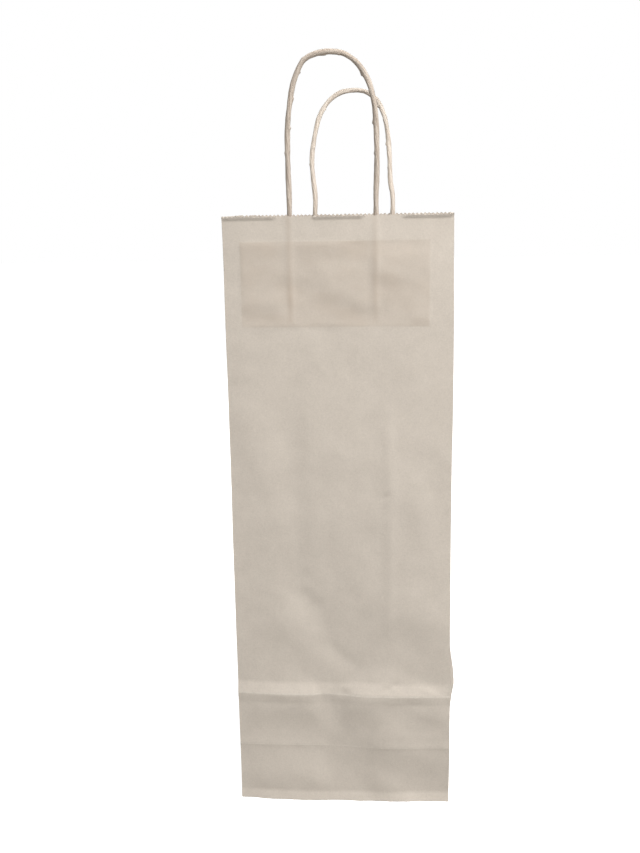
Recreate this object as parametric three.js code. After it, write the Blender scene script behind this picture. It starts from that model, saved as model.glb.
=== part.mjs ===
// A paper carrier bag for one wine bottle: one folded sheet with gussets and a
// block bottom, and two twisted paper cord handles glued inside under paper strips.
// Millimetres, +Z up. The origin is the middle of the base, the front faces -Y.
import * as THREE from 'three';
import { mergeVertices } from 'three/addons/utils/BufferGeometryUtils.js';

// ---- driving dimensions --------------------------------------------------
const width = 140; // across the front
const depth = 80; // front to back
const height = 390; // base to rim

const paper = 0.25; // thickness of the sheet and the strips
const glue = 0.1; // gap left between two glued layers
const crease = 0.15; // how far each panel stops short of a crease
const cornerTrim = 2; // how far the foot triangles stop short of their slanted creases

const tuckReach = 30; // the side tucks' reach under the bottom
const outerFlapReach = 62; // the outer bottom flap, from the front edge
const innerFlapReach = 50; // the inner bottom flap, from the back edge

const lapWidth = 10; // the tube's glued seam, inside the back panel
const lapInset = 3.5; // seam's distance from the corner, so the gusset can fold flat

const stripWidth = 115.5; // the strips that hold a handle's ends
const stripHeight = 52;
const stripDrop = 15.6; // rim to the strips' top edge
const frontStripShift = -1.9; // strips' centre, along X
const backStripShift = 3;

const cordDiameter = 3.4;
const cordSides = 8;
const handleSpan = 52.4; // between a handle's two legs
const frontHandleShift = -2.75; // handles' centres, along X
const backHandleShift = 5.9;
const frontLoopHeight = 91; // bend to top of the cord's middle line
const backLoopHeight = 91;
const backHandleLean = 28; // degrees, away from the bag
const bendHeight = 2.2; // where a handle bends, above the rim
const bendGap = 0.3; // between a glued leg and the loop above it
const inwardLean = 20; // degrees, how far a handle leans over the mouth from upright
const legTailGap = 2; // a glued leg ends this far above its strips' lower edge
const loopSteps = 64;

// ---- places worked out from them -----------------------------------------
const sideX = width / 2; // inside faces of the gussets
const faceY = depth / 2; // inside faces of the front and back
const layer = paper + glue;
const floorZ = 2 * layer + paper; // top of the bottom's three layers
const halfDepth = depth / 2;
const foldZ = floorZ + halfDepth; // crease across the back panel
const stripTop = height - stripDrop;
const stripBottom = stripTop - stripHeight;
const cordRadius = cordDiameter / 2;
const cordIn = glue + layer + cordRadius; // cord's middle line, in from the panel
const bendZ = height + bendHeight;
const bendOut = paper / 2; // the bend lies over the middle of the paper
// A loop's lower ends dip as it leans in, so the glued legs stop short of the bend.
const dip = (bendOut + cordIn + cordRadius) * Math.sin(THREE.MathUtils.degToRad(inwardLean));

// ---- materials -----------------------------------------------------------
const kraft = { roughness: 0.86, metalness: 0 };
const sheetMaterial = new THREE.MeshStandardMaterial({ color: 0xd9d5cc, ...kraft });
const gussetMaterial = new THREE.MeshStandardMaterial({ color: 0xcfcac0, ...kraft });
const stripMaterial = new THREE.MeshStandardMaterial({ color: 0xc6b79d, ...kraft });
const cordMaterial = new THREE.MeshStandardMaterial({ color: 0xe3dccb, ...kraft });

const bag = new THREE.Group();

function add(name, geometry, material, parent = bag) {
  for (const attribute of ['normal', 'uv']) geometry.deleteAttribute(attribute);
  const mesh = new THREE.Mesh(mergeVertices(geometry, 1e-4), material);
  mesh.geometry.computeVertexNormals();
  mesh.name = name;
  parent.add(mesh);
  return mesh;
}

// A flat panel's outline is given in the first two of its facing's axes, and its
// thickness grows along the third.
const facings = {
  front: [[1, 0, 0], [0, 0, 1], [0, -1, 0]],
  right: [[0, 1, 0], [0, 0, 1], [1, 0, 0]],
  up: [[1, 0, 0], [0, 1, 0], [0, 0, 1]],
};

function panel(name, outline, facing, place, material) {
  const shape = new THREE.Shape(outline.map(([u, v]) => new THREE.Vector2(u, v)));
  const solid = new THREE.ExtrudeGeometry(shape, { depth: paper, bevelEnabled: false });
  const axes = facings[facing].map((a) => new THREE.Vector3(...a));
  const mesh = add(name, solid, material);
  mesh.quaternion.setFromRotationMatrix(new THREE.Matrix4().makeBasis(...axes));
  mesh.position.copy(axes[2]).multiplyScalar(place);
  return mesh;
}

function rectangle(u0, u1, v0, v1) {
  return [[u0, v0], [u1, v0], [u1, v1], [u0, v1]];
}

// ---- the sheet: front and back -------------------------------------------
const panelX = sideX - crease;
panel('front_panel', rectangle(-panelX, panelX, floorZ, height), 'front', faceY, sheetMaterial);
panel('upper_back_panel', rectangle(-panelX, panelX, foldZ + crease, height),
  'front', -faceY - paper, sheetMaterial);
panel('lower_back_panel', rectangle(-panelX, panelX, floorZ + crease, foldZ - crease),
  'front', -faceY - paper, sheetMaterial);

const lapX = -sideX + lapInset;
panel('seam_lap', rectangle(lapX, lapX + lapWidth, foldZ + crease, height),
  'front', -faceY + glue, sheetMaterial);

// ---- the sheet: gussets, each side folded down its middle ------------------
for (const [side, sign] of [['right', 1], ['left', -1]]) {
  const place = sign > 0 ? sideX : -sideX - paper;
  const rise = floorZ + cornerTrim; // the slanted crease climbs at 45 degrees
  const frontHalf = [
    [-faceY + crease, rise], [-crease, rise + halfDepth],
    [-crease, height], [-faceY + crease, height],
  ];
  const rearHalf = frontHalf.map(([y, z]) => [-y, z]).reverse();
  const foot = halfDepth - cornerTrim;
  const triangle = [[-foot, floorZ + crease], [foot, floorZ + crease], [0, floorZ + crease + foot]];
  panel(`${side}_front_gusset`, frontHalf, 'right', place, gussetMaterial);
  panel(`${side}_rear_gusset`, rearHalf, 'right', place, gussetMaterial);
  panel(`${side}_foot_triangle`, triangle, 'right', place, gussetMaterial);

  const tuckEdge = faceY - crease;
  const tuck = [
    [sign * panelX, -tuckEdge], [sign * (panelX - tuckReach), -tuckEdge + tuckReach],
    [sign * (panelX - tuckReach), tuckEdge - tuckReach], [sign * panelX, tuckEdge],
  ];
  panel(`${side}_bottom_tuck`, sign > 0 ? tuck.reverse() : tuck, 'up', 2 * layer, sheetMaterial);
}

// ---- the sheet: bottom flaps, the outer one stands on the table ------------
panel('outer_bottom_flap',
  rectangle(-panelX, panelX, -faceY + crease, -faceY + outerFlapReach), 'up', 0, sheetMaterial);
panel('inner_bottom_flap',
  rectangle(-panelX, panelX, faceY - innerFlapReach, faceY - crease), 'up', layer, sheetMaterial);

// ---- handles ---------------------------------------------------------------
// A strip glued to the panel, and a cover strip that wraps over the two legs.
// Both are drawn from above, then stood up to their height.
function standingStrip(name, outline, parent) {
  const shape = new THREE.Shape(outline.map(([u, v]) => new THREE.Vector2(u, v)));
  const solid = new THREE.ExtrudeGeometry(shape, { depth: stripHeight, bevelEnabled: false });
  add(name, solid, stripMaterial, parent).position.z = stripBottom;
}

// From above, a cover lies flat on the base strip and goes round each leg in half a
// circle, out along one of its faces and back along the other.
function coverOutline(stripShift, handleShift) {
  const faceIn = glue + layer; // the cover's face towards the panel, between the legs
  const arcSteps = 6;
  const line = (lift, grow) => {
    const radius = cordRadius + glue + grow;
    const points = [[stripShift - stripWidth / 2, lift]];
    for (const side of [-1, 1]) {
      const middle = handleShift + (side * handleSpan) / 2;
      points.push([middle - radius, lift]);
      for (let step = 0; step <= arcSteps; step += 1) {
        const angle = Math.PI * (1 - step / arcSteps);
        points.push([middle + radius * Math.cos(angle), cordIn + radius * Math.sin(angle)]);
      }
      points.push([middle + radius, lift]);
    }
    points.push([stripShift + stripWidth / 2, lift]);
    return points;
  };
  return [...line(faceIn, 0), ...line(faceIn + paper, paper).reverse()];
}

// A loop's middle line, as shares of half the span and of the height. Hand-bent
// paper cord is never quite even, so each loop has its own few points.
const frontLoopShape = [
  [-1, 0], [-1.01, 0.31], [-0.98, 0.6], [-0.9, 0.77], [-0.8, 0.86], [-0.6, 0.955],
  [-0.3, 0.995], [0, 1], [0.28, 0.985], [0.58, 0.925], [0.81, 0.825], [0.94, 0.705],
  [1.01, 0.54], [1.02, 0.3], [1, 0],
];
const backLoopShape = [
  [-1, 0], [-1.08, 0.28], [-1.11, 0.43], [-1.05, 0.62], [-0.93, 0.79], [-0.72, 0.905],
  [-0.41, 0.98], [-0.08, 1], [0.26, 0.985], [0.55, 0.915], [0.76, 0.78], [0.85, 0.64],
  [0.9, 0.46], [0.95, 0.2], [1, 0],
];

function cordSection() {
  const points = [];
  for (let side = 0; side < cordSides; side += 1) {
    const angle = ((side + 0.5) / cordSides) * 2 * Math.PI;
    points.push(new THREE.Vector2(cordRadius * Math.cos(angle), cordRadius * Math.sin(angle)));
  }
  return new THREE.Shape(points);
}

// Everything of one handle is drawn for the front panel, with y counted in from
// the panel's inside face, and turned half a turn about Z for the back.
function handle(end, turn, spec) {
  const side = new THREE.Group();
  side.rotation.z = turn;
  side.position.y = turn ? faceY : -faceY;
  bag.add(side);
  const sign = turn ? -1 : 1;
  const stripShift = sign * spec.stripShift;
  const handleShift = sign * spec.handleShift;

  const stripX = [stripShift - stripWidth / 2, stripShift + stripWidth / 2];
  standingStrip(`${end}_base_strip`, rectangle(...stripX, glue, layer), side);
  standingStrip(`${end}_cover_strip`, coverOutline(stripShift, handleShift), side);

  const legBottom = stripBottom + legTailGap;
  const legTop = bendZ - dip - bendGap;
  for (const leg of [-1, 1]) {
    const geometry = new THREE.ExtrudeGeometry(cordSection(),
      { depth: legTop - legBottom, bevelEnabled: false });
    const name = `${end}_handle_${leg * sign < 0 ? 'left' : 'right'}_leg`;
    const mesh = add(name, geometry, cordMaterial, side);
    mesh.position.set(handleShift + (leg * handleSpan) / 2, cordIn, legBottom);
  }

  // The loop turns about the bend, a line over the rim above the paper.
  const bend = new THREE.Group();
  bend.position.set(handleShift, -bendOut, bendZ);
  bend.rotation.x = THREE.MathUtils.degToRad(spec.lean);
  side.add(bend);
  const route = spec.loopShape.map(([u, v]) => new THREE.Vector3(
    sign * u * (handleSpan / 2), bendOut + cordIn, bendGap + v * (spec.loopHeight - bendGap)));
  if (sign < 0) route.reverse();
  const curve = new THREE.CatmullRomCurve3(route, false, 'centripetal');
  const loop = new THREE.ExtrudeGeometry(cordSection(),
    { steps: loopSteps, extrudePath: curve, bevelEnabled: false });
  add(`${end}_handle_loop`, loop, cordMaterial, bend);
}

handle('front', 0, {
  stripShift: frontStripShift, handleShift: frontHandleShift,
  loopHeight: frontLoopHeight, loopShape: frontLoopShape, lean: 0,
});
handle('back', Math.PI, {
  stripShift: backStripShift, handleShift: backHandleShift,
  loopHeight: backLoopHeight, loopShape: backLoopShape, lean: backHandleLean,
});

export default bag;
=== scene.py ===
import math

import bpy
import numpy as np
from mathutils import Matrix, Vector


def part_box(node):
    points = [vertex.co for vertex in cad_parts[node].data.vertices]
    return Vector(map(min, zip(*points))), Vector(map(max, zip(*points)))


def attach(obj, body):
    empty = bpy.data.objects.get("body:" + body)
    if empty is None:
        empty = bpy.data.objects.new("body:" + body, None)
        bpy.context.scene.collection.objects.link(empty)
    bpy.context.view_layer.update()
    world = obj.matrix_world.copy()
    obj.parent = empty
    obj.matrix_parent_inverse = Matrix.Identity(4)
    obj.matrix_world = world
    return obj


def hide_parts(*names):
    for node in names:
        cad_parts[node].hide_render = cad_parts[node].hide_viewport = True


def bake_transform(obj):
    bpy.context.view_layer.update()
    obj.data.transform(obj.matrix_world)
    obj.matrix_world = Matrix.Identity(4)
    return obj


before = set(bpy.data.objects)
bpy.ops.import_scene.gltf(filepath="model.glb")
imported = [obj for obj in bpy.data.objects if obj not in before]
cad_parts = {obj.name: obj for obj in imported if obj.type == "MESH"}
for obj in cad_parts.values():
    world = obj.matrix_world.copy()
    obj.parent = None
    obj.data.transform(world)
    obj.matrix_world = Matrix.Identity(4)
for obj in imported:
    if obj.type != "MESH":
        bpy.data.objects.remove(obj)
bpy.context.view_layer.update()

mm = 0.001  # shapes are worked out in millimetres, meshes are in metres


# the bag's own sizes, read from the frame
def nodeBox(node):
    low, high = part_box(node)
    return np.array(low) / mm, np.array(high) / mm


frontLow, frontHigh = nodeBox("front_panel")
sideLow, sideHigh = nodeBox("right_front_gusset")
stripLow, stripHigh = nodeBox("front_cover_strip")
backStripLow, backStripHigh = nodeBox("back_cover_strip")
lapLow, lapHigh = nodeBox("seam_lap")
paperThick = frontHigh[1] - frontLow[1]
sideX = (sideLow[0] + sideHigh[0]) / 2  # middle of the paper, all round the tube
faceY = -(frontLow[1] + frontHigh[1]) / 2
halfDepth = -frontHigh[1]
rimZ = frontHigh[2]
floorZ = frontLow[2]
foldZ = floorZ + halfDepth


def legPlaces(end):
    places = []
    for side in ("left", "right"):
        low, high = nodeBox(f"{end}_handle_{side}_leg")
        places.append((low + high) / 2)
    return places


frontLegs = legPlaces("front")
backLegs = legPlaces("back")


# small helpers for shapes
def smooth(t):
    t = np.clip(t, 0, 1)
    return t * t * (3 - 2 * t)


def tent(distance, reach):
    return np.clip(1 - np.abs(distance) / reach, 0, 1)


def hump(distance, reach):
    return np.exp(-(distance / reach) ** 2)


def between(value, low, high, edge):
    return smooth((value - low) / edge + 0.5) * smooth((high - value) / edge + 0.5)


def softNoise(u, v, size, seed):
    table = np.random.RandomState(seed).uniform(-1, 1, (64, 64))
    a, b = np.asarray(u, float) / size + 17.3, np.asarray(v, float) / size + 9.1
    i, j = np.floor(a).astype(int), np.floor(b).astype(int)
    s, t = smooth(a - i), smooth(b - j)
    low = table[i % 64, j % 64] * (1 - s) + table[(i + 1) % 64, j % 64] * s
    high = table[i % 64, (j + 1) % 64] * (1 - s) + table[(i + 1) % 64, (j + 1) % 64] * s
    return low * (1 - t) + high * t


def steps(marks, spacing):
    # values from the first mark to the last, with one on every mark
    values = [marks[0]]
    for low, high in zip(marks, marks[1:]):
        count = max(1, math.ceil((high - low) / spacing))
        values += [low + (high - low) * k / count for k in range(1, count + 1)]
    return np.array(values)


def newObject(name, vertices, faces, bendAngle=50):
    mesh = bpy.data.meshes.new(name)
    mesh.from_pydata((np.asarray(vertices) * mm).tolist(), [], faces)
    mesh.validate()
    mesh.shade_smooth()
    mesh.set_sharp_from_angle(angle=math.radians(bendAngle))
    piece = bpy.data.objects.new(name, mesh)
    bpy.context.scene.collection.objects.link(piece)
    return piece


def paperSheet(name, grid, normal, thick):
    # a closed thin sheet round a grid of points on the paper's middle
    rows, columns = grid.shape[:2]
    half = np.array(normal, float) * thick / 2
    flat = grid.reshape(-1, 3)
    vertices = np.concatenate([flat + half, flat - half])
    count = rows * columns
    faces = []
    for r in range(rows - 1):
        for c in range(columns - 1):
            a = r * columns + c
            quad = (a, a + 1, a + columns + 1, a + columns)
            faces.append(quad)
            faces.append(tuple(count + k for k in reversed(quad)))
    rim = list(range(columns))
    rim += [r * columns + columns - 1 for r in range(1, rows)]
    rim += [(rows - 1) * columns + c for c in range(columns - 2, -1, -1)]
    rim += [r * columns for r in range(rows - 2, 0, -1)]
    for k, a in enumerate(rim):
        b = rim[(k + 1) % len(rim)]
        faces.append((b, a, a + count, b + count))
    return newObject(name, vertices, faces)


def finishPiece(piece, material, body, slot, *nodes):
    piece.data.materials.append(material)
    if body:
        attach(piece, body)
    if nodes:
        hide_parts(*nodes)
    return piece


# materials: small helpers, then the effects that several papers share
def addNode(tree, kind, **values):
    node = tree.nodes.new("ShaderNode" + kind)
    for key, value in values.items():
        if hasattr(node, key):
            setattr(node, key, value)
        else:
            node.inputs[key.replace("_", " ")].default_value = value
    return node


def math2(tree, operation, a, b=None, c=None, clamp=False):
    node = tree.nodes.new("ShaderNodeMath")
    node.operation = operation
    node.use_clamp = clamp
    for k, value in enumerate((a, b, c)):
        if isinstance(value, (int, float)):
            node.inputs[k].default_value = value
        elif value is not None:
            tree.links.new(value, node.inputs[k])
    return node.outputs[0]


def newGroup(name, inputs, outputs):
    tree = bpy.data.node_groups.new(name, "ShaderNodeTree")
    for label, kind, value in inputs:
        socket = tree.interface.new_socket(label, in_out="INPUT", socket_type=kind)
        if value is not None:
            socket.default_value = value
    for label, kind in outputs:
        tree.interface.new_socket(label, in_out="OUTPUT", socket_type=kind)
    return tree, tree.nodes.new("NodeGroupInput"), tree.nodes.new("NodeGroupOutput")


def makeFibreGrain():
    tree, inside, out = newGroup(
        "fibreGrain",
        [("Vector", "NodeSocketVector", None), ("Fibre", "NodeSocketFloat", 0.35),
         ("Mottle", "NodeSocketFloat", 14.0)],
        [("Tone", "NodeSocketFloat"), ("Height", "NodeSocketFloat")])
    link = tree.links.new
    inMillimetres = addNode(tree, "VectorMath", operation="SCALE")
    inMillimetres.inputs["Scale"].default_value = 1 / mm
    link(inside.outputs["Vector"], inMillimetres.inputs[0])
    perFibre = math2(tree, "DIVIDE", 1.0, inside.outputs["Fibre"])
    perMottle = math2(tree, "DIVIDE", 1.0, inside.outputs["Mottle"])

    fibres = []
    for stretch, turn in (((0.5, 1, 1), 0.7), ((1, 1, 0.5), -0.5), ((1, 1, 1), 2.1)):
        lay = addNode(tree, "Mapping")
        lay.inputs["Scale"].default_value = stretch
        lay.inputs["Rotation"].default_value = (0.3 * turn, turn, 0.2 * turn)
        link(inMillimetres.outputs[0], lay.inputs["Vector"])
        noise = addNode(tree, "TexNoise", Detail=2.0, Roughness=0.6)
        link(lay.outputs[0], noise.inputs["Vector"])
        link(perFibre, noise.inputs["Scale"])
        fibres.append(noise.outputs["Fac"])
    crossed = math2(tree, "MAXIMUM", fibres[0], fibres[1])
    crossed = math2(tree, "ADD", math2(tree, "MULTIPLY", crossed, 0.55),
                    math2(tree, "MULTIPLY", fibres[2], 0.45))
    cloud = addNode(tree, "TexNoise", Detail=4.0, Roughness=0.55)
    link(inMillimetres.outputs[0], cloud.inputs["Vector"])
    link(perMottle, cloud.inputs["Scale"])
    fleck = addNode(tree, "TexNoise", Scale=1.1, Detail=1.0)
    link(inMillimetres.outputs[0], fleck.inputs["Vector"])
    darkFleck = math2(tree, "GREATER_THAN", fleck.outputs["Fac"], 0.74)

    tone = math2(tree, "MULTIPLY_ADD", crossed, 0.95, -0.19)
    tone = math2(tree, "MULTIPLY_ADD", cloud.outputs["Fac"], 0.36, tone)
    tone = math2(tree, "MULTIPLY_ADD", darkFleck, -0.12, tone, clamp=True)
    link(tone, out.inputs["Tone"])
    link(crossed, out.inputs["Height"])
    return tree


def makeGluedUnder():
    # what shows through the paper where a strip or a handle leg is glued behind it; along the
    # legs it also carries painted shade
    tree, inside, out = newGroup(
        "gluedUnder",
        [("Vector", "NodeSocketVector", None), ("Middle", "NodeSocketVector", None),
         ("Half Size", "NodeSocketVector", None), ("Soft Edge", "NodeSocketFloat", 1.2),
         ("Blotch Size", "NodeSocketFloat", 16.0)],
        [("Mask", "NodeSocketFloat"), ("Blotch", "NodeSocketFloat")])
    link = tree.links.new
    inMillimetres = addNode(tree, "VectorMath", operation="SCALE")
    inMillimetres.inputs["Scale"].default_value = 1 / mm
    link(inside.outputs["Vector"], inMillimetres.inputs[0])
    away = addNode(tree, "VectorMath", operation="SUBTRACT")
    link(inMillimetres.outputs[0], away.inputs[0])
    link(inside.outputs["Middle"], away.inputs[1])
    size = addNode(tree, "VectorMath", operation="ABSOLUTE")
    link(away.outputs[0], size.inputs[0])
    room = addNode(tree, "VectorMath", operation="SUBTRACT")
    link(inside.outputs["Half Size"], room.inputs[0])
    link(size.outputs[0], room.inputs[1])
    split = addNode(tree, "SeparateXYZ")
    link(room.outputs[0], split.inputs[0])
    nearest = math2(tree, "MINIMUM", split.outputs["X"], split.outputs["Z"])
    soft = math2(tree, "DIVIDE", nearest, inside.outputs["Soft Edge"])
    mask = math2(tree, "ADD", soft, 0.5, clamp=True)
    link(mask, out.inputs["Mask"])
    perBlotch = math2(tree, "DIVIDE", 1.0, inside.outputs["Blotch Size"])
    cloud = addNode(tree, "TexNoise", Detail=3.0, Roughness=0.45)
    lay = addNode(tree, "Mapping")
    lay.inputs["Scale"].default_value = (0.55, 1, 1)
    link(inMillimetres.outputs[0], lay.inputs["Vector"])
    link(lay.outputs[0], cloud.inputs["Vector"])
    link(perBlotch, cloud.inputs["Scale"])
    contrast = math2(tree, "SUBTRACT", cloud.outputs["Fac"], 0.42)
    contrast = math2(tree, "MULTIPLY", contrast, 3.2, clamp=True)
    link(math2(tree, "MULTIPLY", contrast, mask), out.inputs["Blotch"])
    return tree


def makeCreaseRub():
    # a broken line of rubbed fibres, Distance is how far a point is from the crease
    tree, inside, out = newGroup(
        "creaseRub",
        [("Vector", "NodeSocketVector", None), ("Distance", "NodeSocketFloat", 0.0),
         ("Width", "NodeSocketFloat", 0.8)],
        [("Mask", "NodeSocketFloat")])
    link = tree.links.new
    grain = addNode(tree, "TexNoise", Scale=420.0, Detail=3.0, Roughness=0.7)
    link(inside.outputs["Vector"], grain.inputs["Vector"])
    share = math2(tree, "DIVIDE", inside.outputs["Distance"], inside.outputs["Width"])
    share = math2(tree, "ABSOLUTE", share)
    line = math2(tree, "SUBTRACT", 1.0, share, clamp=True)
    broken = math2(tree, "MULTIPLY_ADD", grain.outputs["Fac"], 2.6, -0.75, clamp=True)
    link(math2(tree, "MULTIPLY", line, broken), out.inputs["Mask"])
    return tree


fibreGrain = makeFibreGrain()
gluedUnder = makeGluedUnder()
creaseRub = makeCreaseRub()

paperLook = {
    "pale": (0.71, 0.641, 0.563, 1),
    "deep": (0.47, 0.418, 0.362, 1),
    "rubbed": (0.82, 0.765, 0.69, 1),
    # the darker colour over glued paper: real show-through over the strips, and also painted
    # shade along the handle legs
    "glued": (0.50, 0.42, 0.345, 1),
    "stripShade": 0.3, "legShowThroughAndShade": 0.28, "legBlotchAndShade": 0.25,
    "faceRub": 0.5, "sideRub": 0.6,
    "roughness": 0.84,
    "grain": 0.05,  # millimetres of relief
    "cockle": 0.12,  # the same, where glue made the paper swell
}


def startMaterial(name):
    material = bpy.data.materials.new(name)
    material.use_nodes = True
    tree = material.node_tree
    surface = tree.nodes["Principled BSDF"]
    return material, tree, surface


def useGroup(tree, group, **values):
    node = tree.nodes.new("ShaderNodeGroup")
    node.node_tree = group
    for key, value in values.items():
        node.inputs[key.replace("_", " ")].default_value = value
    return node


def mixColour(tree, share, low, high, blend="MIX"):
    node = tree.nodes.new("ShaderNodeMix")
    node.data_type = "RGBA"
    node.blend_type = blend
    sockets = {s.identifier: s for s in node.inputs}
    for value, label in ((share, "Factor_Float"), (low, "A_Color"), (high, "B_Color")):
        if isinstance(value, (int, float, tuple)):
            sockets[label].default_value = value
        else:
            tree.links.new(value, sockets[label])
    return next(s for s in node.outputs if s.identifier == "Result_Color")


def paperSurface(tree, surface, colour, height, look, coarse=None):
    surface.inputs["Roughness"].default_value = look["roughness"]
    surface.inputs["Specular IOR Level"].default_value = 0.25
    bump = addNode(tree, "Bump", Strength=0.55, Distance=look["grain"] * mm)
    tree.links.new(height, bump.inputs["Height"])
    tree.links.new(colour, surface.inputs["Base Color"])
    if coarse is not None:
        wide = addNode(tree, "Bump", Strength=0.5, Distance=paperLook["cockle"] * mm)
        tree.links.new(coarse, wide.inputs["Height"])
        tree.links.new(wide.outputs["Normal"], bump.inputs["Normal"])
    tree.links.new(bump.outputs["Normal"], surface.inputs["Normal"])


def makeFacePaper(name, stripBox, legs, creases):
    # the front and back: plain paper, darker over the glued strips, darker along the handle legs
    # with painted shade, rubbed on creases
    look = paperLook
    material, tree, surface = startMaterial(name)
    place = addNode(tree, "TexCoord").outputs["Object"]
    grain = useGroup(tree, fibreGrain, Fibre=0.9, Mottle=14.0)
    tree.links.new(place, grain.inputs["Vector"])
    colour = mixColour(tree, grain.outputs["Tone"], look["deep"], look["pale"])
    low, high = stripBox
    under = useGroup(tree, gluedUnder, Soft_Edge=0.9, Blotch_Size=13.0)
    under.inputs["Middle"].default_value = tuple((low + high) / 2)
    under.inputs["Half Size"].default_value = tuple((high - low) / 2)
    tree.links.new(place, under.inputs["Vector"])
    shade = math2(tree, "MULTIPLY", under.outputs["Mask"], look["stripShade"])
    shade = math2(tree, "MULTIPLY_ADD", under.outputs["Blotch"], look["stripShade"], shade)
    # along each leg: the glued cord showing through, plus painted shade on the left of the leg's
    # bulge, where the light doesn't reach
    for leg in legs:
        bottom = low[2] + 3
        line = useGroup(tree, gluedUnder, Soft_Edge=2.8, Blotch_Size=22.0)
        line.inputs["Middle"].default_value = (leg[0] - 0.6, leg[1], (bottom + rimZ) / 2)
        line.inputs["Half Size"].default_value = (1.2, 10, (rimZ - bottom) / 2)
        tree.links.new(place, line.inputs["Vector"])
        shade = math2(tree, "MULTIPLY_ADD", line.outputs["Mask"], look["legShowThroughAndShade"], shade)
        shade = math2(tree, "MULTIPLY_ADD", line.outputs["Blotch"], look["legBlotchAndShade"], shade)
    colour = mixColour(tree, shade, colour, look["glued"])
    split = addNode(tree, "SeparateXYZ")
    tree.links.new(place, split.inputs[0])
    for creaseZ, width in creases:
        rub = useGroup(tree, creaseRub, Width=width * mm)
        tree.links.new(place, rub.inputs["Vector"])
        distance = math2(tree, "SUBTRACT", split.outputs["Z"], creaseZ * mm)
        tree.links.new(distance, rub.inputs["Distance"])
        share = math2(tree, "MULTIPLY", rub.outputs["Mask"], look["faceRub"])
        colour = mixColour(tree, share, colour, look["rubbed"])
    paperSurface(tree, surface, colour, grain.outputs["Height"], look,
                 under.outputs["Blotch"])
    return material


def makeSidePaper():
    look = paperLook
    material, tree, surface = startMaterial("gussetPaper")
    place = addNode(tree, "TexCoord").outputs["Object"]
    grain = useGroup(tree, fibreGrain, Fibre=0.9, Mottle=12.0)
    tree.links.new(place, grain.inputs["Vector"])
    colour = mixColour(tree, grain.outputs["Tone"], look["deep"], look["pale"])
    split = addNode(tree, "SeparateXYZ")
    tree.links.new(place, split.inputs[0])
    height = math2(tree, "SUBTRACT", split.outputs["Z"], floorZ * mm)
    width = math2(tree, "ABSOLUTE", split.outputs["Y"])
    slant = math2(tree, "SUBTRACT", halfDepth * mm, width)
    slant = math2(tree, "SUBTRACT", height, slant)
    slant = math2(tree, "MULTIPLY", slant, math.sqrt(0.5))
    above = math2(tree, "GREATER_THAN", height, halfDepth * mm)
    slant = math2(tree, "ADD", slant, above)
    for distance in (split.outputs["Y"], slant):
        rub = useGroup(tree, creaseRub, Width=0.9 * mm)
        tree.links.new(place, rub.inputs["Vector"])
        tree.links.new(distance, rub.inputs["Distance"])
        share = math2(tree, "MULTIPLY", rub.outputs["Mask"], look["sideRub"])
        colour = mixColour(tree, share, colour, look["rubbed"])
    paperSurface(tree, surface, colour, grain.outputs["Height"], look)
    return material


stripLook = {
    "pale": (0.70, 0.61, 0.49, 1),
    "deep": (0.54, 0.45, 0.34, 1),
    "wet": (0.47, 0.39, 0.29, 1),
    "wetShade": 0.45,
    "roughness": 0.8,
    "grain": 0.06,
}


def makeStripPaper():
    look = stripLook
    material, tree, surface = startMaterial("stripPaper")
    place = addNode(tree, "TexCoord").outputs["Object"]
    grain = useGroup(tree, fibreGrain, Fibre=0.45, Mottle=9.0)
    tree.links.new(place, grain.inputs["Vector"])
    colour = mixColour(tree, grain.outputs["Tone"], look["deep"], look["pale"])
    glue = useGroup(tree, gluedUnder, Soft_Edge=3.0, Blotch_Size=13.0)
    glue.inputs["Middle"].default_value = tuple((stripLow + stripHigh) / 2)
    glue.inputs["Half Size"].default_value = (sideX, 1, (stripHigh[2] - stripLow[2]) / 2)
    tree.links.new(place, glue.inputs["Vector"])
    shade = math2(tree, "MULTIPLY", glue.outputs["Blotch"], look["wetShade"])
    colour = mixColour(tree, shade, colour, look["wet"])
    paperSurface(tree, surface, colour, grain.outputs["Height"], look,
                 glue.outputs["Blotch"])
    return material


cordLook = {
    "pale": (0.74, 0.68, 0.605, 1),
    "deep": (0.43, 0.365, 0.305, 1),
    # painted shade: the colour laid into the ply grooves, where shade falls
    "grooveShadow": (0.36, 0.28, 0.22, 1),
    "grooveShade": 0.75, "grainShare": 0.35,
    "frontShadeTint": (0.86, 0.83, 0.81, 1),  # painted shade: the front cord's copy of the paper is darker and browner
    # the back cord's copy stays lit, near the paper's own colour
    "backLitTint": (1, 0.99, 0.98, 1),
    "roughness": 0.88,
    "grain": 0.05,
}


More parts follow.
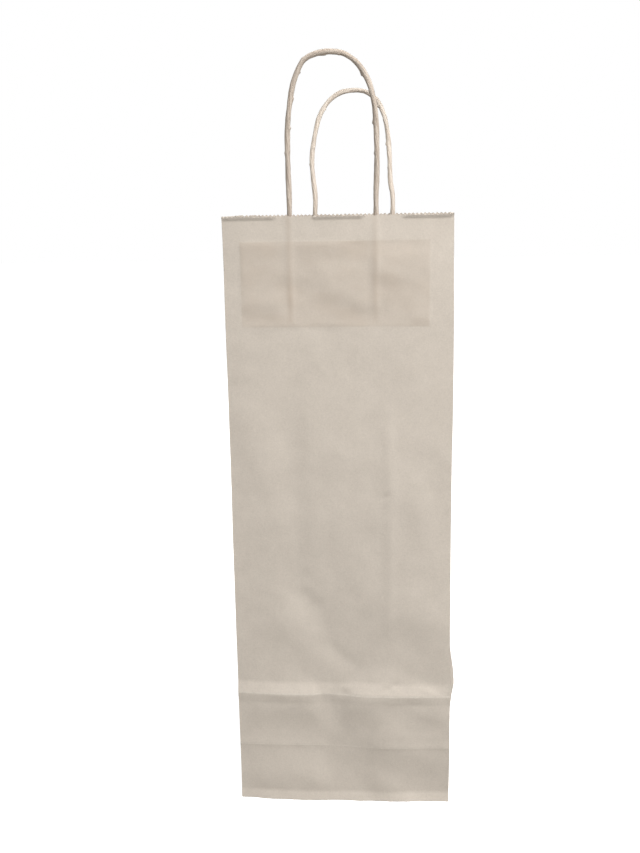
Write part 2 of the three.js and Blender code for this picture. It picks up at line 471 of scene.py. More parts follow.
def makeCordPaper(name, lightingTint):
    # streaks follow the twist: cordSpace is the cord's own place before it was twisted
    look = cordLook
    material, tree, surface = startMaterial(name)
    own = addNode(tree, "Attribute", attribute_name="cordSpace")
    inMetres = addNode(tree, "VectorMath", operation="SCALE")
    inMetres.inputs["Scale"].default_value = mm
    tree.links.new(own.outputs["Vector"], inMetres.inputs[0])
    grain = useGroup(tree, fibreGrain, Fibre=0.7, Mottle=5.0)
    tree.links.new(inMetres.outputs[0], grain.inputs["Vector"])
    lay = addNode(tree, "Mapping")
    lay.inputs["Scale"].default_value = (1, 1, 0.07)
    tree.links.new(own.outputs["Vector"], lay.inputs["Vector"])
    streak = addNode(tree, "TexNoise", Scale=1.5, Detail=3.0, Roughness=0.6)
    tree.links.new(lay.outputs[0], streak.inputs["Vector"])
    wave = math2(tree, "MULTIPLY_ADD", streak.outputs["Fac"], 2.2, -0.6, clamp=True)
    tone = math2(tree, "MULTIPLY", grain.outputs["Tone"], look["grainShare"])
    tone = math2(tree, "MULTIPLY_ADD", wave, 1 - look["grainShare"], tone, clamp=True)
    colour = mixColour(tree, tone, look["deep"], look["pale"])
    # painted shade: the cord is darkened in its ply grooves
    deep = addNode(tree, "Attribute", attribute_name="plyGrooveShadow")
    shade = math2(tree, "MULTIPLY", deep.outputs["Fac"], look["grooveShade"], clamp=True)
    colour = mixColour(tree, shade, colour, look["grooveShadow"])
    # painted shade: the tint darkens the front cord's copy, the back one stays lit
    colour = mixColour(tree, 1.0, colour, lightingTint, "MULTIPLY")
    rough = math2(tree, "ADD", grain.outputs["Height"], wave)
    paperSurface(tree, surface, colour, rough, look)
    return material


# the front: the folded bottom pressed a ridge and a line into it
frontLook = {
    "crestZ": 77.7, "crestOut": 1.7, "bandUp": 7.6, "bandDown": 6.6, "shelfOut": 0.85,
    "printZ": 40.0, "printOut": 0.26,
    "toeHeight": 6.2, "toeOut": 1.8, "ragged": 0.4,
    "stripOut": 0.12, "cockleOut": 0.3, "legOut": 0.4, "legReach": 2.4,
    "lipHeight": 2.3, "lipOut": 0.8,
    "lips": [(-71, -35.5), (-12.5, 17.5), (42.5, 71)],
    "waveOut": 0.7,
    # the line that the left gusset's edge pressed: heights and where it is at each
    "imprintZ": [90, 97, 112, 128, 141, 152, 330],
    "imprintX": [10, 6, -9, -15, -20, -29, -30.5],
    "imprintIn": 0.75, "imprintLeft": 12, "imprintRight": 8,
    "lineX": 31, "lineOut": 0.45, "lineReach": 4.2,  # the right gusset's line
    # facets that lean out towards the crest: their slanting tops, x and z, and soft edge
    "facets": [([-2, 13, 24, 38, 50, 68], [84, 97, 98, 96, 89, 79], 13),
               ([-64, -52, -38, -28, -22, -14], [79, 84, 91, 93, 88, 79], 14)],
    "facetSlope": 0.1, "facetDrop": 24,
    # soft mounds left by the fold: middle x, z, reach x, z and height
    "moundLean": 0.35,
    "mounds": [(34, 44, 20, 20, 1.9), (-34, 128, 17, 20, 1.2), (-36, 4, 36, 27, 2.1),
               (42, 136, 27, 22, 2.0), (62, 4, 22, 30, -2.2), (-20, 15, 15, 12, 1.1),
               (27, 11, 12, 11, 0.9), (58, 88, 11, 9, -0.5), (-9, 355, 8, 17, 0.4),
               (27, 358, 6, 12, 0.35), (-48, 352, 13, 9, -0.45), (2, 332, 20, 8, -0.3),
               (49, 200, 14, 40, 0.5), (-52, 240, 12, 50, 0.5)],
    # small pinches, nicks and dents: the same, with the lean of each way before the height
    "pinches": [(-27.5, 88, 1.6, 6, 0, 0, -0.25), (0.5, 78.5, 3.5, 2.2, 0, 0, -0.6),
                (29, 214, 3, 1.8, 0, 0.3, -0.35), (55.2, 81, 2.4, 2.2, 2.2, 0, 0.35),
                (31, 84, 2, 2.5, 1.4, 0, 0.3), (30, 83, 3, 3, -1.5, 0, -0.5)],
}


def lipShare(x, z, look):
    share = 0
    lean = (z - rimZ) * 1.6  # the lip's ends are cut on a slant
    for low, high in look["lips"]:
        share = share + between(x - lean, low, high, 1)
    return share * smooth((z - rimZ + look["lipHeight"]) / 0.9)


def stripRelief(x, z, low, high, legs, look):
    inside = between(x, low[0], high[0], 3) * between(z, low[2], high[2], 2.4)
    relief = look["stripOut"] * inside
    # the wet glue left the paper slightly cockled, more across than up
    relief = relief + look["cockleOut"] * inside * softNoise(x * 0.6, z * 1.5, 13, 21)
    for leg in legs:
        tail = smooth((z - low[2] + 2) / 26)
        wobble = leg[0] + 0.4 * np.sin(z / 9 + leg[0])
        strength = 0.65 + 0.35 * smooth((high[2] - z) / 20)
        relief = relief + look["legOut"] * strength * tail * hump(x - wobble, look["legReach"])
    return relief


def crestLine(x):
    return 0.45 * np.sin(x / 21 + 0.6) + 0.35 * softNoise(x, 0 * x, 13, 5)


def moundRelief(x, z, look):
    relief = 0
    for mx, mz, rx, rz, out in look["mounds"]:
        across = x - mx + look["moundLean"] * (z - mz)
        relief = relief + out * hump(across, rx) * hump(z - mz, rz)
    return relief


def frontRelief(x, z):
    look = frontLook
    up = z - look["crestZ"] - crestLine(x)
    uneven = 1 + 0.2 * softNoise(x, 0 * x, 19, 8) - 0.4 * smooth((x - 46) / 18)
    relief = look["crestOut"] * uneven * np.where(up > 0, tent(up, look["bandUp"]), 0)
    # below the crest the paper falls back in a short band, then slowly
    shelf = look["shelfOut"] * (1 - 0.75 * smooth((x - 15) / 30))
    shelf = shelf + (0.8 * look["crestOut"] - shelf) * hump(x - 13, 13)
    fall = np.clip(-up / look["bandDown"], 0, 1)
    slow = smooth((up + 72) / 66)
    below = (look["crestOut"] * uneven * (1 - fall) + shelf * fall) * slow
    relief = np.where(up > 0, relief, below)

    shown = 1 - 0.85 * between(x, -12, 20, 9)
    relief = relief + look["printOut"] * shown * np.where(
        z > look["printZ"], tent(z - look["printZ"], 5), tent(z - look["printZ"], 2.4))
    relief = relief + look["toeOut"] * tent(z, look["toeHeight"]) * (
        0.85 + 0.3 * softNoise(x, 0 * x, 12, 4))

    fade = smooth((z - 84) / 20) * smooth((322 - z) / 80)
    side = x - np.interp(z, look["imprintZ"], look["imprintX"])
    relief = relief - look["imprintIn"] * fade * np.where(
        side < 0, hump(side, look["imprintLeft"]), hump(side, look["imprintRight"]))
    fade = smooth((z - 105) / 40) * smooth((300 - z) / 60)
    side = x - look["lineX"] - 0.8 * np.sin(z / 25)
    relief = relief + look["lineOut"] * fade * hump(side, look["lineReach"])

    for topX, topZ, edge in look["facets"]:
        below = np.interp(x, topX, topZ) - z
        lean = look["facetSlope"] * (np.sqrt(below * below + 3) + below) / 2
        lean = np.minimum(lean, look["facetSlope"] * look["facetDrop"])
        lean = lean * between(x, topX[0], topX[-1], edge)
        relief = relief + lean * smooth((z - 50) / 30)
    relief = relief + moundRelief(x, z, look)
    for mx, mz, rx, rz, leanX, leanZ, out in look["pinches"]:
        pinch = hump(x - mx + leanX * (z - mz), rx) * hump(z - mz - leanZ * (x - mx), rz)
        relief = relief + out * pinch

    relief = relief + stripRelief(x, z, stripLow, stripHigh, frontLegs, look)
    relief = relief + look["lipOut"] * lipShare(x, z, look)
    wave = softNoise(x, z * 0.6, 42, 31) + 0.4 * softNoise(x, z * 0.7, 17, 32)
    wave = wave + 0.12 * softNoise(x, z, 7, 33)
    return relief + look["waveOut"] * wave


# the back: the real crease that folds it flat, and the glued seam
backLook = {
    "creaseIn": 1.0, "creaseReach": 9, "toeHeight": 5, "toeOut": 0.7,
    "stripOut": 0.12, "cockleOut": 0.3, "legOut": 0.4, "legReach": 2.4, "lapOut": 0.25,
    "lipHeight": 2.4, "lipOut": 0.6, "lips": [(-71, -30), (0, 22), (48, 71)],
    "waveOut": 0.75, "flatEdge": 12,
    "lines": [(-30, 0.45, 4), (30.5, 0.5, 4.2)],  # the gussets' edges: x, height, reach
    "moundLean": -0.3,
    "mounds": [(-30, 60, 26, 14, 1.0), (34, 58, 20, 16, 1.2), (10, 22, 22, 10, -0.6),
               (46, 180, 15, 40, 0.6), (-44, 230, 15, 45, 0.6), (5, 120, 20, 30, -0.5)],
}


def backRelief(x, z):
    look = backLook
    relief = -look["creaseIn"] * tent(z - foldZ, look["creaseReach"])
    relief = relief + look["toeOut"] * tent(z, look["toeHeight"])
    relief = relief + look["lapOut"] * between(x, lapLow[0], lapHigh[0], 1.2) * smooth(
        (z - foldZ) / 4)
    relief = relief + stripRelief(x, z, backStripLow, backStripHigh, backLegs, look)
    relief = relief + look["lipOut"] * lipShare(x, z, look)
    fade = smooth((z - 60) / 30) * smooth((322 - z) / 50)
    for line, height, reach in look["lines"]:
        relief = relief + height * fade * hump(x - line - 0.9 * np.sin(z / 31), reach)
    relief = relief + moundRelief(x, z, look)
    wave = softNoise(x, z * 0.6, 40, 41) + 0.4 * softNoise(x, z * 0.7, 16, 42)
    # straight along the corner creases, so that it folds flat onto the gussets
    return (relief + look["waveOut"] * wave) * smooth((sideX - np.abs(x)) / look["flatEdge"])


# the sides: a shallow valley down the middle that stays after the bag was flat
sideLook = {
    "valley": 1.0, "frontWave": 0.35, "rearWave": 0.12, "waveOut": 0.5,
    "pressed": 0.7, "cornerOut": 0.5, "footInset": 0.5,
    # one bulge on the right (1) and left (-1): middle y, z, reach y, z and height
    "bulges": {1: (-24, 84, 11, 20, 3.0), -1: (18, 70, 12, 24, 1.6)},
}


def sideRelief(sign, y, z):
    look = sideLook
    seed = 50 + sign
    depth = look["valley"] * (0.8 + 0.3 * softNoise(z, 0 * z, 90, seed))
    climb = np.clip((z - floorZ) / halfDepth, 0, 1)
    relief = -depth * np.minimum(1 - np.abs(y) / halfDepth, climb)
    share = np.clip(1 - (y / halfDepth) ** 2, 0, 1)
    wave = softNoise(y, z * 0.6, 23, seed + 4) + 0.35 * softNoise(y, z, 9, seed + 5)
    relief = relief + look["waveOut"] * share * wave
    front, back = smooth(-y / halfDepth), smooth(y / halfDepth)
    relief = relief + look["frontWave"] * front * softNoise(z, 0 * z, 48, seed + 6)
    relief = relief + look["rearWave"] * back * softNoise(z, 0 * z, 48, seed + 7)
    # the line left by the folded bottom, and the bulge where the ridge turns the corner
    relief = relief + look["pressed"] * share * tent(z - 2 * halfDepth, 5)
    my, mz, ry, rz, out = look["bulges"][sign]
    relief = relief + out * hump(y - my, ry) * hump(z - mz, rz)
    if sign > 0:
        relief = relief + look["cornerOut"] * front * hump(z - mz, 9)
    return relief


def facePoints(end, x, z):
    sign = -1 if end == "front" else 1
    relief = frontRelief if end == "front" else backRelief
    share = (x / sideX + 1) / 2
    corner = sign * halfDepth + 0 * z
    move = share * sideRelief(1, corner, z) - (1 - share) * sideRelief(-1, corner, z)
    return np.stack([x + move, sign * (faceY + relief(x, z)), z], -1)


def sidePoints(sign, y, z):
    edge = sign * sideX + 0 * z
    front = np.clip(-y / halfDepth, 0, 1) * frontRelief(edge, z)
    back = np.clip(y / halfDepth, 0, 1) * backRelief(edge, z)
    alongY = y * faceY / halfDepth - front + back
    return np.stack([sign * (sideX + sideRelief(sign, y, z)), alongY, z], -1)


# the sheet's edges: the tube was cut off with a toothed blade
rimLook = {"tooth": 2.7, "deep": 1.05, "rowStep": 1.5, "edgeGap": 0.03}


def toothedRows(z, columns):
    # every other point of the top row sits at the bottom of a tooth
    z = z.copy()
    low = np.arange(columns) % 2 == 1
    z[-1, low] -= rimLook["deep"]
    z[-1] -= 0.12 * np.abs(np.random.RandomState(7).normal(size=columns))
    return z


def toothCount(length):
    return 2 * max(2, round(length / rimLook["tooth"]))


def faceGrid(end, lowZ, highZ, marks, toothed):
    columns = toothCount(2 * sideX) + 1
    x = np.linspace(-sideX, sideX, columns)
    rows = steps([lowZ] + [m for m in marks if lowZ < m < highZ] + [highZ],
                 rimLook["rowStep"])
    x, z = np.meshgrid(x, rows)
    if toothed:
        z = toothedRows(z, columns)
    if end == "front":
        torn = np.abs(softNoise(x[0], 0 * x[0], 4, 71) + softNoise(x[0], 0 * x[0], 1.5, 72))
        z[0] += frontLook["ragged"] * torn
        z = z + crestLine(x) * hump(z - frontLook["crestZ"], 18) * (z > 6)
    return facePoints(end, x, z)


def sideGrid(sign, half):
    # half is "front" or "rear": from its corner to the middle crease
    columns = toothCount(halfDepth) + 1
    turn = -1 if half == "front" else 1
    y = turn * np.linspace(halfDepth, rimLook["edgeGap"], columns)
    slant = floorZ + halfDepth - np.abs(y) + rimLook["edgeGap"]
    rows = steps([0, foldZ + 0.001, 2 * halfDepth, rimZ - 2, rimZ], rimLook["rowStep"])
    share = (rows[:, None] - rows[0]) / (rows[-1] - rows[0])
    z = slant[None, :] + share * (rimZ - slant[None, :])
    y = np.repeat(y[None, :], len(rows), 0)
    z = toothedRows(z, columns)
    return sidePoints(sign, y, z)


print("paper sheet")
frontPaper = makeFacePaper("frontPaper", (stripLow, stripHigh), frontLegs,
                           [(frontLook["crestZ"], 0.7), (frontLook["printZ"], 0.35)])
backPaper = makeFacePaper("backPaper", (backStripLow, backStripHigh), backLegs,
                          [(foldZ, 0.9)])
sidePaper = makeSidePaper()
stripPaper = makeStripPaper()
# lit and shaded copies of one cord paper: the front one has painted shade
cordPaper = {"front": makeCordPaper("frontCordPaperShaded", cordLook["frontShadeTint"]),
             "back": makeCordPaper("backCordPaperLit", cordLook["backLitTint"])}

look = frontLook
hemZ = 0.14  # the paper's lowest edge, just clear of the table
marks = [look["toeHeight"], look["printZ"] - 1.6, look["printZ"], look["printZ"] + 5,
         look["crestZ"] - look["bandDown"], look["crestZ"], look["crestZ"] + look["bandUp"],
         stripLow[2], stripHigh[2], rimZ - look["lipHeight"], rimZ - 1.4]
outside = np.array([0, -1, 0])
piece = paperSheet("front_sheet", faceGrid("front", hemZ, rimZ, marks, True),
                   outside, paperThick)
finishPiece(piece, frontPaper, "front", "bag_paper", "front_panel")

marks = [foldZ + backLook["creaseReach"], backStripLow[2], backStripHigh[2],
         rimZ - backLook["lipHeight"], rimZ - 1.4]
grid = faceGrid("back", foldZ + rimLook["edgeGap"], rimZ, marks, True)
piece = paperSheet("upper_back_sheet", grid[:, ::-1], -outside, paperThick)
finishPiece(piece, backPaper, "upper_back", "bag_paper", "upper_back_panel")
grid = faceGrid("back", hemZ, foldZ - rimLook["edgeGap"], [backLook["toeHeight"]], False)
piece = paperSheet("lower_back_sheet", grid[:, ::-1], -outside, paperThick)
finishPiece(piece, backPaper, "lower_back", "bag_paper", "lower_back_panel")

for side, sign in (("right", 1), ("left", -1)):
    for half in ("front", "rear"):
        grid = sideGrid(sign, half)
        if (half == "front") != (sign > 0):
            grid = grid[:, ::-1]
        piece = paperSheet(f"{side}_{half}_gusset_sheet", grid, (sign, 0, 0), paperThick)
        node = f"{side}_{half}_gusset"
        finishPiece(piece, sidePaper, node, "gusset_paper", node)
    # the foot triangle, from the table up to its two slanted creases
    reach = halfDepth - sideLook["footInset"]
    y = steps([-reach, 0, reach], rimLook["rowStep"])
    top = floorZ + halfDepth - np.abs(y) - rimLook["edgeGap"]
    rows = np.linspace(0, 1, 22)[:, None]
    z = hemZ + rows * (top[None, :] - hemZ)
    grid = sidePoints(sign, np.repeat(y[None, :], len(rows), 0), z)
    if sign < 0:
        grid = grid[:, ::-1]
    piece = paperSheet(f"{side}_foot_sheet", grid, (sign, 0, 0), paperThick)
    node = f"{side}_foot_triangle"
    finishPiece(piece, sidePaper, node, "gusset_paper", node)


print("bottom flaps")
flapLook = {"corner": 16, "follow": 14, "step": 2.5, "thin": 0.9, "clear": 0.3}


def bottomSheet(name, outline, z, node):
    # outline gives half the flap's width at each place along it
    low, high = nodeBox(node)
    count = int((high[1] - low[1]) / flapLook["step"])
    y = np.linspace(low[1], high[1], count)
    columns = toothCount(2 * sideX) // 2 + 1
    across = np.linspace(-1, 1, columns)
    rowWidth = outline(y)
    x = rowWidth[:, None] * across[None, :]
    y = np.repeat(y[:, None], columns, 1)
    teeth = (np.arange(columns) % 2) * rimLook["deep"]
    # its creased edge follows the panel it is folded from, the other one is toothed
    foot = hemZ + 0 * x
    if name.startswith("outer"):
        y[-1] -= teeth
        y = y - smooth(1 - (y - low[1]) / flapLook["follow"]) * frontRelief(x, foot)
    if name.startswith("inner"):
        y[0] += teeth
        y = y + smooth(1 - (high[1] - y) / flapLook["follow"]) * backRelief(x, foot)
    grid = np.stack([x, y, np.full_like(x, z)], -1)
    piece = paperSheet(name, grid, (0, 0, 1), paperThick * flapLook["thin"])
    finishPiece(piece, sidePaper, "bottom", "bag_paper", node)


flapTop = nodeBox("outer_bottom_flap")[1][1]
bottomSheet("outer_flap_sheet", lambda y: sideX - np.clip(
    y - flapTop + flapLook["corner"], 0, None), paperThick / 2, "outer_bottom_flap")
flapFront = nodeBox("inner_bottom_flap")[0][1]
bottomSheet("inner_flap_sheet", lambda y: sideX - np.clip(
    flapFront + flapLook["corner"] - y, 0, None),
    nodeBox("inner_bottom_flap")[0][2] + paperThick / 2, "inner_bottom_flap")
for side, sign in (("right", 1), ("left", -1)):
    low, high = nodeBox(f"{side}_bottom_tuck")
    reach = high[0] - low[0]
    share = np.linspace(0, 1, 16)[:, None]
    across = np.linspace(-1, 1, 40)[None, :]
    x = sign * (sideX - share * reach) + 0 * across
    y = across * (halfDepth - flapLook["clear"] - share * reach)
    grid = np.stack([x, y, np.full_like(x, (low[2] + high[2]) / 2)], -1)
    if sign > 0:
        grid = grid[::-1]
    piece = paperSheet(f"{side}_tuck_sheet", grid, (0, 0, 1), paperThick * flapLook["thin"])
    finishPiece(piece, sidePaper, "bottom", "bag_paper", f"{side}_bottom_tuck")


print("glued strips and seam")
coverLook = {
    "thick": 0.18, "wrinkle": 0.18,
    "baseGap": 0.35, "coverGap": 0.75,  # from the middle of the bag's paper
    # over a leg: how far the cover stands off, how wide and how square
    "legOut": 3.25, "legReach": 2.35, "legSquare": 3.2,
    "lapThick": 0.16, "lapGap": 0.03, "lapInset": 0.6,
}


def stripSheet(end, legs, low, high, cover):
    sign = -1 if end == "front" else 1
    relief = frontRelief if end == "front" else backRelief
    x = steps([low[0]] + [leg[0] for leg in legs] + [high[0]], 1.0)
    x, z = np.meshgrid(x, steps([low[2], high[2]], 1.6))
    inward = np.full_like(x, coverLook["coverGap" if cover else "baseGap"])
    if cover:
        # the cover strip stands off over each leg and sinks back between them
        for leg in legs:
            away = np.abs((x - leg[0]) / coverLook["legReach"])
            inward = inward + coverLook["legOut"] * np.exp(-away ** coverLook["legSquare"])
        inward = inward + coverLook["wrinkle"] * softNoise(x, z, 6, 61 + sign)
    y = sign * (faceY + relief(x, z) - inward)
    grid = np.stack([x, y, z], -1)
    kind = "cover" if cover else "base"
    if sign > 0:
        grid = grid[:, ::-1]
    piece = paperSheet(f"{end}_{kind}_strip_sheet", grid, (0, sign, 0), coverLook["thick"])
    body = "front" if end == "front" else "upper_back"
    finishPiece(piece, stripPaper, body, "strip_paper", f"{end}_{kind}_strip")


for cover in (False, True):
    stripSheet("front", frontLegs, stripLow, stripHigh, cover)
    stripSheet("back", backLegs, backStripLow, backStripHigh, cover)

lapColumns = 9
x, z = np.meshgrid(np.linspace(lapLow[0] + coverLook["lapInset"], lapHigh[0], lapColumns),
                   steps([foldZ + 2, rimZ - 3, rimZ], 2.0))
z = toothedRows(z, lapColumns)
lapIn = (paperThick + coverLook["lapThick"]) / 2 + coverLook["lapGap"]
grid = np.stack([x, faceY + backRelief(x, z) - lapIn, z], -1)
piece = paperSheet("seam_lap_sheet", grid[:, ::-1], (0, 1, 0), coverLook["lapThick"])
finishPiece(piece, backPaper, "upper_back", "bag_paper", "seam_lap")


print("twisted handles")
cordShape = {
    "radius": 1.7, "turn": 58.0, "step": 0.6, "around": 40,
    "plies": [(0.4, 0.26, 0.16), (1.9, 0.2, 0.1), (3.1, 0.3, 0.15), (4.7, 0.18, 0.09)],
    "flat": 0.06, "crinkle": 0.06, "wander": 0.35, "trim": 0.12,
    # torn bits of the outer ply: share of the length, angle, length and lift
    "tears": [(0.335, 2.6, 1.5, 0.8), (0.385, 2.9, 2.2, 0.6), (0.43, 3.4, 1.2, 0.7),
              (0.49, 3.1, 3.0, 0.55), (0.52, 2.5, 1.6, 0.5), (0.575, 3.3, 2.4, 0.75),
              (0.61, 2.8, 1.2, 0.5), (0.66, 3.2, 1.8, 0.7), (0.30, 0.4, 1.6, 0.4),
              (0.46, 0.2, 2.4, 0.35), (0.55, 5.9, 1.6, 0.4), (0.71, 3.0, 1.4, 0.4)],
}

# the loops as the part has them: shares of half the span and of the height
handleSpan = 52.4
bendZ = rimZ + 2.2
frontLoop = {
    "height": 91, "lean": 0, "seed": 3,
    "shape": [(-1.01, 0.31), (-0.98, 0.6), (-0.9, 0.77), (-0.8, 0.86), (-0.6, 0.955),
              (-0.3, 0.995), (0, 1), (0.28, 0.985), (0.58, 0.925), (0.81, 0.825),
              (0.94, 0.705), (1.01, 0.54), (1.02, 0.3)],
}
backLoop = {
    "height": 91, "lean": 28, "seed": 12,
    "shape": [(-1.08, 0.28), (-1.11, 0.43), (-1.05, 0.62), (-0.93, 0.79), (-0.72, 0.905),
              (-0.41, 0.98), (-0.08, 1), (0.26, 0.985), (0.55, 0.915), (0.76, 0.78),
              (0.85, 0.64), (0.9, 0.46), (0.95, 0.2)],
}


def smoothPath(points, step):
    # one smooth curve through the points, cut into even steps
    p = np.array(points, float)
    t = np.concatenate([[0], np.cumsum(np.sqrt(np.linalg.norm(np.diff(p, axis=0), axis=1)))])
    slope = np.gradient(p, t, axis=0)
    fine = []
    for k in range(len(p) - 1):
        s = np.linspace(0, 1, 40, endpoint=False)[:, None]
        span = t[k + 1] - t[k]
        fine.append((2 * s**3 - 3 * s**2 + 1) * p[k] + (s**3 - 2 * s**2 + s) * span * slope[k]
                    + (3 * s**2 - 2 * s**3) * p[k + 1] + (s**3 - s**2) * span * slope[k + 1])
    fine = np.concatenate(fine + [p[-1:]])
    length = np.concatenate([[0], np.cumsum(np.linalg.norm(np.diff(fine, axis=0), axis=1))])
    even = np.linspace(0, length[-1], int(length[-1] / step) + 1)
    return np.stack([np.interp(even, length, fine[:, k]) for k in range(3)], -1), even


def handlePath(side, spec, legs):
    sign = -1 if side == "front" else 1
    middle = (legs[0][0] + legs[1][0]) / 2
    legY = abs(legs[0][1])
    lean = math.radians(spec["lean"])
    bottom = nodeBox(f"{side}_handle_left_leg")[0][2]

    def leaned(x, up):
        # a point of the upright loop, turned about the bend over the rim
        y0, z0 = legY - faceY, up
        return [middle + x, sign * (faceY + y0 * math.cos(lean) + z0 * math.sin(lean)),
                bendZ + z0 * math.cos(lean) - y0 * math.sin(lean)]

    half = handleSpan / 2
    loop = [leaned(u * half, v * spec["height"]) for u, v in spec["shape"]]
    heights = (bottom, bottom + 30, rimZ - 12, rimZ - 2)
    rising = [[middle - half, sign * legY, z] for z in heights]
    falling = [[middle + half, sign * legY, z] for z in reversed(heights)]
    return rising + [leaned(-half, 9)] + loop + [leaned(half, 9)] + falling


def twistedCord(name, path, along, seed):
    shape = cordShape
    count = len(path)
    around = shape["around"]
    for axis in range(3):
        wave = softNoise(along, 0 * along, 24, seed + axis) * shape["wander"]
        path[:, axis] += wave * smooth((path[:, 2] - rimZ - 6) / 20)
    forward = np.gradient(path, axis=0)
    forward /= np.linalg.norm(forward, axis=1)[:, None]
    sideways = np.zeros_like(path)
    sideways[0] = np.cross(forward[0], (0, 1, 0))
    for k in range(1, count):
        s = sideways[k - 1] - forward[k] * (sideways[k - 1] @ forward[k])
        sideways[k] = s / np.linalg.norm(s)
    across = np.cross(forward, sideways)

    angle = np.linspace(0, 2 * math.pi, around, endpoint=False)
    turned = angle[None, :] + 2 * math.pi * along[:, None] / shape["turn"]
    s = np.repeat(along[:, None], around, 1)
    radius = np.full_like(turned, shape["radius"])
    grooveShadow = np.zeros_like(turned)
    for place, width, deep in shape["plies"]:
        drift = place + 0.35 * softNoise(along, 0 * along, 30, seed + int(place * 10))
        off = (turned - drift[:, None] + math.pi) % (2 * math.pi) - math.pi
        # each ply ends in a small step: the paper's edge lies on the turn before it
        step = np.where(off < 0, 0.0, np.exp(-off / 0.55))
        radius += deep * 0.75 * step - deep * hump(off, width * 0.45)
        # where the grooves' painted shade goes on the cord's colour
        grooveShadow = np.maximum(grooveShadow, hump(off + 0.05, width * 0.55))
    radius *= 1 + shape["flat"] * np.cos(2 * turned + 0.8)
    radius += shape["crinkle"] * softNoise(s, turned * 2.2, 2.6, seed + 40)
    radius += 0.3 * shape["crinkle"] * softNoise(s, turned * 2.6, 2.0, seed + 41)
    for share, where, length, lift in shape["tears"]:
        off = (angle[None, :] - where - 0.5 * math.sin(seed) + math.pi) % (2 * math.pi) - math.pi
        ahead = (s - along[-1] * (share + 0.004 * math.sin(seed * share * 40))) / length
        flap = np.where(ahead > 0, hump(ahead, 0.25), hump(ahead, 1.0))
        radius += lift * flap * hump(off, 0.42)
    radius -= shape["trim"]
    ring = (sideways[:, None, :] * np.cos(angle)[None, :, None]
            + across[:, None, :] * np.sin(angle)[None, :, None])
    points = path[:, None, :] + ring * radius[:, :, None]

    vertices = points.reshape(-1, 3)
    faces = []
    for k in range(count - 1):
        for a in range(around):
            b = (a + 1) % around
            faces.append((k * around + a, k * around + b, (k + 1) * around + b,
                          (k + 1) * around + a))
    tips = [path[0] - forward[0] * 0.3, path[-1] + forward[-1] * 0.3]
    vertices = np.concatenate([vertices, tips])
    first, last = count * around, count * around + 1
    for a in range(around):
        b = (a + 1) % around
        faces.append((first, b, a))
        faces.append((last, (count - 1) * around + a, (count - 1) * around + b))
    piece = newObject(name, vertices, faces, 75)
    own = np.stack([np.cos(turned) * shape["radius"], np.sin(turned) * shape["radius"], s], -1)
    own = np.concatenate([own.reshape(-1, 3), [own[0, 0], own[-1, 0]]])
    attribute = piece.data.attributes.new("cordSpace", "FLOAT_VECTOR", "POINT")
    attribute.data.foreach_set("vector", own.astype(np.float32).ravel())
    grooveShadow = np.concatenate([grooveShadow.ravel(), [0, 0]])
    attribute = piece.data.attributes.new("plyGrooveShadow", "FLOAT", "POINT")
    attribute.data.foreach_set("value", grooveShadow.astype(np.float32))
    return piece


for end, spec, legs, body in (("front", frontLoop, frontLegs, "front"),
                              ("back", backLoop, backLegs, "upper_back")):
    path, along = smoothPath(handlePath(end, spec, legs), cordShape["step"])
    piece = twistedCord(f"{end}_twisted_handle", path, along, spec["seed"])
    finishPiece(piece, cordPaper[end], None, "handle_cord", f"{end}_handle_loop",
                f"{end}_handle_left_leg", f"{end}_handle_right_leg")
    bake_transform(piece)
    print(f"{end} handle cord is {along[-1]:.0f} mm long")


print("floor, light and camera")
stageLook = {
    "floor": (0.9, 0.9, 0.89, 1), "floorUnder": (0.42, 0.415, 0.40, 1),
    "floorGlow": 0.5, "backdrop": 1.0, "ambient": 0.35, "fill": (0.97, 0.985, 1, 1),
    "sunPower": 1.2, "sunAngle": 50, "sunDirection": (-0.3, 0.5, -1),
}

bpy.ops.mesh.primitive_plane_add(size=14)
floor = bpy.context.object
floor.name = "floor"
material, tree, surface = startMaterial("floorWhite")
# the floor is seen white, but throws back no more light than a grey table would
paths = tree.nodes.new("ShaderNodeLightPath")
seen = paths.outputs["Is Camera Ray"]
colour = mixColour(tree, seen, stageLook["floorUnder"], stageLook["floor"])
tree.links.new(colour, surface.inputs["Base Color"])
surface.inputs["Emission Color"].default_value = (1, 1, 1, 1)
tree.links.new(math2(tree, "MULTIPLY", seen, stageLook["floorGlow"]),
               surface.inputs["Emission Strength"])
surface.inputs["Roughness"].default_value = 0.9
surface.inputs["Specular IOR Level"].default_value = 0.0
floor.data.materials.append(material)

world = bpy.data.worlds.new("studio")
bpy.context.scene.world = world
world.use_nodes = True
tree = world.node_tree
seen = tree.nodes["Background"]
seen.inputs["Color"].default_value = (1, 1, 1, 1)
seen.inputs["Strength"].default_value = stageLook["backdrop"]
fill = tree.nodes.new("ShaderNodeBackground")
fill.inputs["Color"].default_value = stageLook["fill"]
fill.inputs["Strength"].default_value = stageLook["ambient"]
paths = tree.nodes.new("ShaderNodeLightPath")
mix = tree.nodes.new("ShaderNodeMixShader")
tree.links.new(paths.outputs["Is Camera Ray"], mix.inputs[0])
tree.links.new(fill.outputs[0], mix.inputs[1])
tree.links.new(seen.outputs[0], mix.inputs[2])
tree.links.new(mix.outputs[0], tree.nodes["World Output"].inputs["Surface"])


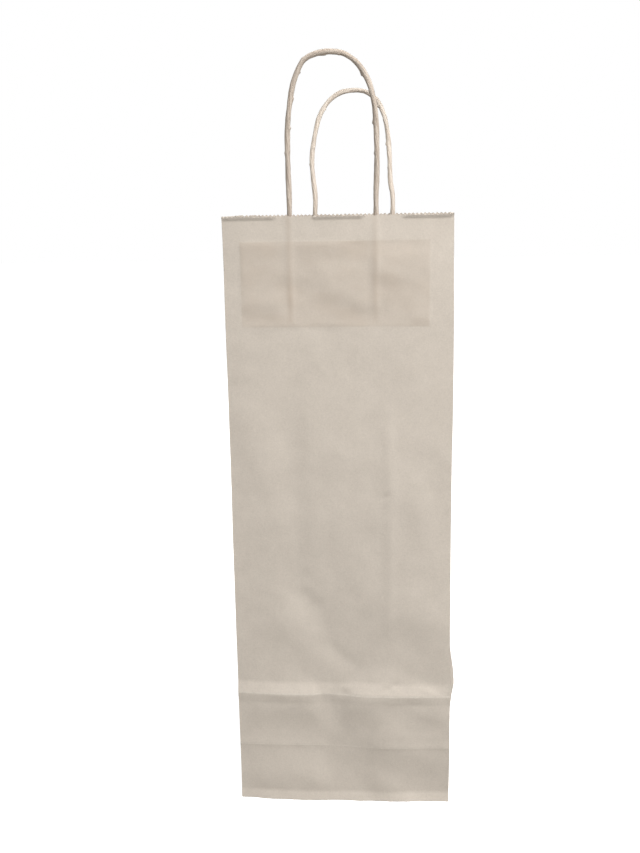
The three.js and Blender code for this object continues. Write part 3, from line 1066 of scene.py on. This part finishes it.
def softLight(name, place, target, size, power, colour):
    light = bpy.data.lights.new(name, "AREA")
    light.shape = "RECTANGLE"
    light.size = size[0]
    light.size_y = size[1]
    light.energy = power
    light.color = colour
    lamp = bpy.data.objects.new(name, light)
    lamp.location = place
    direction = Vector(target) - Vector(place)
    lamp.rotation_euler = direction.to_track_quat("-Z", "Y").to_euler()
    bpy.context.scene.collection.objects.link(lamp)


# where each lamp is, what it points at, its size, its power and its colour
lamps = {
    "key": ((0.43, -0.54, 1.07), (0, 0, 0.2), (0.33, 0.33), 8.1, (1, 0.985, 0.965)),
    "side": ((0.9, -0.6, 0.5), (0, 0, 0.3), (0.5, 0.8), 2.0, (1, 1, 1)),
    "rear": ((-0.5, 1.2, 1.2), (0, 0, 0.25), (0.9, 0.9), 13, (1, 1, 1)),
}
for name, values in lamps.items():
    softLight(name, *values)
sunlight = bpy.data.lights.new("sunlight", "SUN")
sunlight.energy = stageLook["sunPower"]
sunlight.angle = math.radians(stageLook["sunAngle"])
sun = bpy.data.objects.new("sunlight", sunlight)
direction = Vector(stageLook["sunDirection"])
sun.rotation_euler = direction.to_track_quat("-Z", "Y").to_euler()
bpy.context.scene.collection.objects.link(sun)

cameraLook = {
    "place": (43.2, -663.7, 395.3),
    "turn": -5.10, "down": 12.23, "roll": -0.99,  # degrees
    "lens": 42.976319, "sensor": 36,
}
turn, down, roll = (math.radians(cameraLook[k]) for k in ("turn", "down", "roll"))
ahead = Vector((math.sin(turn) * math.cos(down), math.cos(turn) * math.cos(down),
                -math.sin(down)))
right = Vector((math.cos(turn), -math.sin(turn), 0))
upward = right.cross(ahead)
right, upward = (right * math.cos(roll) + upward * math.sin(roll),
                 upward * math.cos(roll) - right * math.sin(roll))
data = bpy.data.cameras.new("camera")
data.sensor_width = cameraLook["sensor"]
data.lens = cameraLook["lens"]
data.clip_end = 50
camera = bpy.data.objects.new("camera", data)
turned = Matrix((right, upward, -ahead)).transposed().to_4x4()
camera.matrix_world = Matrix.Translation(Vector(cameraLook["place"]) * mm) @ turned
bpy.context.scene.collection.objects.link(camera)
bpy.context.scene.camera = camera
bpy.context.scene.view_settings.view_transform = "Standard"
